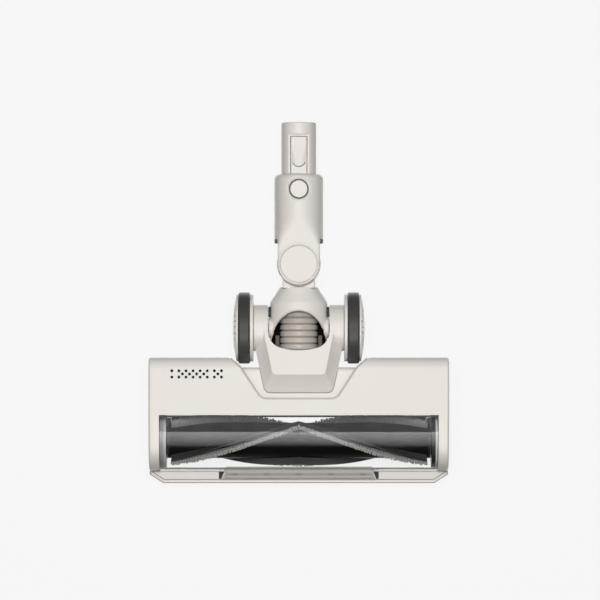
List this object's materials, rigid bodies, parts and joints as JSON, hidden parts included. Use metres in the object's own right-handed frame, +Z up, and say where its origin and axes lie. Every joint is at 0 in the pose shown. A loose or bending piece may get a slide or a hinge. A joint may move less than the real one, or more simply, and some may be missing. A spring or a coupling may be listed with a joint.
{
  "type": "vacuum floor brush head",
  "caption": "Motorised vacuum floor brush head: clear window over a chevron bristle roller, front light, rear wheels, bellows hose, pitching elbow and swivelling neck with a latched spigot.",
  "frame": {"origin": "on the floor, below the middle of the outer box in the rest pose", "axes": "+X to the right, +Y to the rear along the neck and spigot, +Z up from the floor"},
  "size_m": [0.25, 0.3014, 0.0597],
  "materials": {
    "shell": "satin",
    "base": "satin",
    "window": "polished",
    "lens": "polished",
    "circuit": "satin",
    "black_plastic": "satin",
    "grey_plastic": "satin",
    "bristle": "matte",
    "fin": "matte",
    "gloss_black": "gloss",
    "tyre": "matte",
    "hose": "satin",
    "steel": "satin",
    "motor": "satin",
    "brass": "satin",
    "pad": "matte"
  },
  "bodies": {
    "head": {"base_housing": "base", "top_cover": "shell", "roller_window": "window", "window_clips": "black_plastic", "front_bumper": "shell", "light_lens": "lens", "light_board": "circuit", "base_screws": "steel", "skid_left": "pad", "skid_right": "pad", "seal_strip": "pad", "bearing_block_left": "grey_plastic", "bearing_block_right": "grey_plastic", "roller_bearing_left": "steel", "roller_bearing_right": "steel", "brush_motor": "motor", "drive_belt": "fin", "control_board": "circuit", "suction_duct": "black_plastic", "yoke_cover": "shell", "yoke_base": "shell", "axle_pin_left": "steel", "axle_pin_right": "steel", "hose_collar_front": "black_plastic", "bellows_hose": "hose"},
    "roller": {"roller_core": "gloss_black", "roller_cap_left": "black_plastic", "roller_cap_right": "black_plastic", "roller_pulley": "black_plastic", "bristle_strip_1": "bristle", "bristle_strip_2": "bristle", "bristle_strip_3": "bristle", "fin_strip_1": "fin", "fin_strip_2": "fin", "fin_strip_3": "fin"},
    "motor_rotor": {"motor_pulley": "steel"},
    "wheel_left": {"wheel_hub_left": "shell", "tyre_left": "tyre", "hub_cap_left": "shell"},
    "wheel_right": {"wheel_hub_right": "shell", "tyre_right": "tyre", "hub_cap_right": "shell"},
    "elbow": {"elbow_front": "shell", "elbow_back": "shell", "elbow_screws": "steel", "hose_collar_rear": "black_plastic"},
    "neck": {"neck_front": "shell", "neck_rear": "shell", "neck_screws": "steel", "neck_plugs": "tyre", "swivel_cap": "shell", "swivel_pin_front": "steel", "swivel_pin_rear": "steel", "spigot": "shell", "contact_block": "black_plastic", "contact_pins": "brass", "latch_pin": "steel", "latch_spring": "steel"},
    "latch": {"latch_lever": "shell"},
    "button": {"release_button": "shell"}
  },
  "joints": [
    {"name": "roller_spin", "type": "hinge", "parent": "head", "child": "roller", "pos_m": [0, -0.11465, 0.0226], "axis": [1, 0, 0], "continuous": true},
    {"name": "motor_spin", "type": "hinge", "parent": "head", "child": "motor_rotor", "pos_m": [-0.113, -0.06585, 0.025], "axis": [1, 0, 0], "continuous": true},
    {"name": "wheel_left_spin", "type": "hinge", "parent": "head", "child": "wheel_left", "pos_m": [-0.0456, -0.02085, 0.02985], "axis": [1, 0, 0], "continuous": true},
    {"name": "wheel_right_spin", "type": "hinge", "parent": "head", "child": "wheel_right", "pos_m": [0.0456, -0.02085, 0.02985], "axis": [1, 0, 0], "continuous": true},
    {"name": "neck_pitch", "type": "hinge", "parent": "head", "child": "elbow", "pos_m": [0, -0.02085, 0.02985], "axis": [1, 0, 0], "range_deg": [0, 90], "deforming": ["bellows_hose"]},
    {"name": "neck_swivel", "type": "hinge", "parent": "elbow", "child": "neck", "pos_m": [0, 0.03205, 0.02985], "axis": [0, 0, 1], "range_deg": [-80, 80]},
    {"name": "latch_turn", "type": "hinge", "parent": "neck", "child": "latch", "pos_m": [0, 0.13575, 0.04015], "axis": [1, 0, 0], "range_deg": [0, 4.4], "stiffness_Nm_per_rad": 0.5, "springref_deg": -8.59, "deforming": ["latch_spring"]},
    {"name": "button_press", "type": "slide", "parent": "neck", "child": "button", "axis": [0, 0, -1], "range_m": [0, 0.0032]}
  ],
  "couplings": [
    {"joint": "motor_spin", "follows": "roller_spin", "ratio": 2},
    {"joint": "button_press", "follows": "latch_turn", "m_per_rad": 0.0412}
  ]
}
